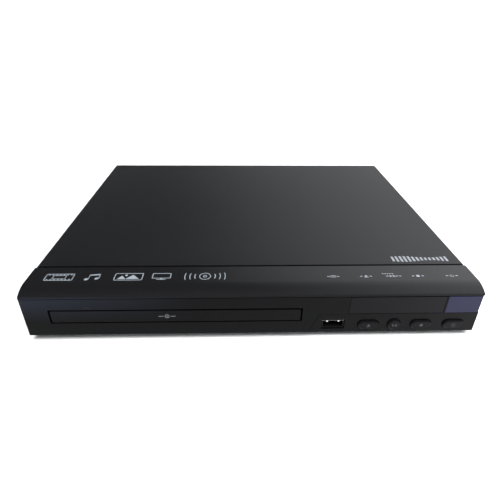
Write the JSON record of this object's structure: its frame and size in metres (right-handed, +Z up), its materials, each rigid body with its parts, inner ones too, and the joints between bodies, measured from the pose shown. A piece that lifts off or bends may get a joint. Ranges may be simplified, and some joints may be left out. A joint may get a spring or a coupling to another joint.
{
  "type": "disc player",
  "caption": "Slim black disc player with a motorised loading tray, front data socket and push buttons, in a folded steel case.",
  "frame": {"origin": "bottom centre of the player, on the plane its feet stand on", "axes": "+Z up, front faces -Y, +X to the right seen from the front"},
  "size_m": [0.2714, 0.2314, 0.035],
  "materials": {
    "zinc_steel": "satin",
    "black_paint": "satin",
    "black_plastic": "satin gloss",
    "smoked_window": "gloss",
    "button_plastic": "satin",
    "switch_black": "matte",
    "circuit_green": "satin",
    "circuit_brown": "satin",
    "display_black": "gloss",
    "plated_shell": "plated",
    "tray_black": "fine texture",
    "frame_black": "fine texture",
    "white_gear": "satin",
    "belt_rubber": "matte",
    "motor_steel": "satin",
    "deck_steel": "satin",
    "rod_steel": "polished",
    "sled_metal": "cast",
    "lens_glass": "clear",
    "capacitor_sleeve": "gloss",
    "transformer_tape": "satin",
    "heatsink_metal": "satin",
    "phono_colours": "gloss",
    "ribbon_white": "satin",
    "screw_black": "satin"
  },
  "bodies": {
    "player": {"chassis_pan": "zinc_steel", "top_cover": "black_paint", "front_bezel": "black_plastic", "display_window": "smoked_window", "sensor_window": "smoked_window", "tact_switches": "switch_black", "front_board": "circuit_green", "display_module": "display_black", "sensor_eye": "display_black", "usb_socket": "plated_shell", "usb_tongue": "switch_black", "usb_board": "circuit_green", "loader_frame": "frame_black", "drive_belt": "belt_rubber", "loading_motor": "motor_steel", "clamp_bridge": "deck_steel", "main_board": "circuit_green", "board_chips": "switch_black", "board_capacitors": "capacitor_sleeve", "power_board": "circuit_brown", "mains_transformer": "transformer_tape", "power_capacitors": "capacitor_sleeve", "power_heatsink": "heatsink_metal", "mains_inlet": "switch_black", "inlet_pins": "plated_shell", "video_socket": "plated_shell", "phono_block": "switch_black", "phono_sockets": "plated_shell", "phono_inserts": "phono_colours", "front_ribbon": "ribbon_white", "rubber_feet": "belt_rubber", "cover_screws": "screw_black", "inner_screws": "rod_steel"},
    "tray": {"tray_door": "black_plastic", "disc_tray": "tray_black"},
    "drive_gear": {"drive_gear": "white_gear"},
    "pulley_gear": {"pulley_gear": "white_gear"},
    "motor_pulley": {"motor_pulley": "white_gear"},
    "cam_slider": {"cam_slider": "white_gear"},
    "traverse": {"traverse_cradle": "frame_black", "deck_dampers": "belt_rubber", "traverse_deck": "deck_steel", "guide_rods": "rod_steel", "feed_motor": "motor_steel", "spindle_motor": "motor_steel"},
    "pickup": {"optical_pickup": "sled_metal", "pickup_lens": "lens_glass"},
    "feed_screw": {"feed_screw": "rod_steel"},
    "turntable": {"turntable": "frame_black", "turntable_pad": "belt_rubber"},
    "clamper": {"clamper": "frame_black", "clamp_magnet": "motor_steel"},
    "open_close_button": {"open_close_button": "button_plastic", "open_close_plunger": "switch_black"},
    "play_button": {"play_button": "button_plastic", "play_plunger": "switch_black"},
    "stop_button": {"stop_button": "button_plastic", "stop_plunger": "switch_black"},
    "power_button": {"power_button": "button_plastic", "power_plunger": "switch_black"}
  },
  "joints": [
    {"name": "tray_slide", "type": "slide", "parent": "player", "child": "tray", "axis": [0, -1, 0], "range_m": [0, 0.13]},
    {"name": "drive_gear_spin", "type": "hinge", "parent": "player", "child": "drive_gear", "pos_m": [0.0034, -0.09575, 0.0115], "axis": [0, 0, -1], "range_deg": [-1, 679.13]},
    {"name": "pulley_gear_spin", "type": "hinge", "parent": "player", "child": "pulley_gear", "pos_m": [-0.01465, -0.09575, 0.009], "axis": [0, 0, 1], "range_deg": [-2, 1068.06]},
    {"name": "motor_pulley_spin", "type": "hinge", "parent": "player", "child": "motor_pulley", "pos_m": [-0.0402, -0.09575, 0.0076], "axis": [0, 0, 1], "range_deg": [-6, 3204.19]},
    {"name": "traverse_tilt", "type": "hinge", "parent": "player", "child": "traverse", "pos_m": [-0.0462, 0.04725, 0.0122], "axis": [1, 0, 0], "range_deg": [0, 1.93]},
    {"name": "cam_slide", "type": "slide", "parent": "player", "child": "cam_slider", "axis": [1, 0, 0], "range_m": [-0.0001, 0.0162]},
    {"name": "pickup_slide", "type": "slide", "parent": "traverse", "child": "pickup", "axis": [0, 1, 0], "range_m": [0, 0.034]},
    {"name": "feed_screw_spin", "type": "hinge", "parent": "traverse", "child": "feed_screw", "pos_m": [-0.0172, 0.00525, 0.012], "axis": [0, 1, 0], "range_deg": [-5, 4090]},
    {"name": "turntable_spin", "type": "hinge", "parent": "traverse", "child": "turntable", "pos_m": [-0.0462, -0.04475, 0.018], "axis": [0, 0, 1], "continuous": true},
    {"name": "clamper_spin", "type": "hinge", "parent": "player", "child": "clamper", "pos_m": [-0.0462, -0.04475, 0.024], "axis": [0, 0, 1], "continuous": true},
    {"name": "open_close_press", "type": "slide", "parent": "player", "child": "open_close_button", "axis": [0, 1, 0], "range_m": [0, 0.0006], "stiffness_N_per_m": 900},
    {"name": "play_press", "type": "slide", "parent": "player", "child": "play_button", "axis": [0, 1, 0], "range_m": [0, 0.0006], "stiffness_N_per_m": 900},
    {"name": "stop_press", "type": "slide", "parent": "player", "child": "stop_button", "axis": [0, 1, 0], "range_m": [0, 0.0006], "stiffness_N_per_m": 900},
    {"name": "power_press", "type": "slide", "parent": "player", "child": "power_button", "axis": [0, 1, 0], "range_m": [0, 0.0006], "stiffness_N_per_m": 900}
  ],
  "couplings": [
    {"joint": "drive_gear_spin", "follows": "tray_slide", "rad_per_m": 90.909},
    {"joint": "pulley_gear_spin", "follows": "tray_slide", "rad_per_m": 142.86},
    {"joint": "motor_pulley_spin", "follows": "tray_slide", "rad_per_m": 428.57},
    {"joint": "cam_slide", "follows": "traverse_tilt", "m_per_rad": 0.47499},
    {"joint": "feed_screw_spin", "follows": "pickup_slide", "rad_per_m": 2094.4},
    {"joint": "clamper_spin", "follows": "turntable_spin", "ratio": 1}
  ]
}
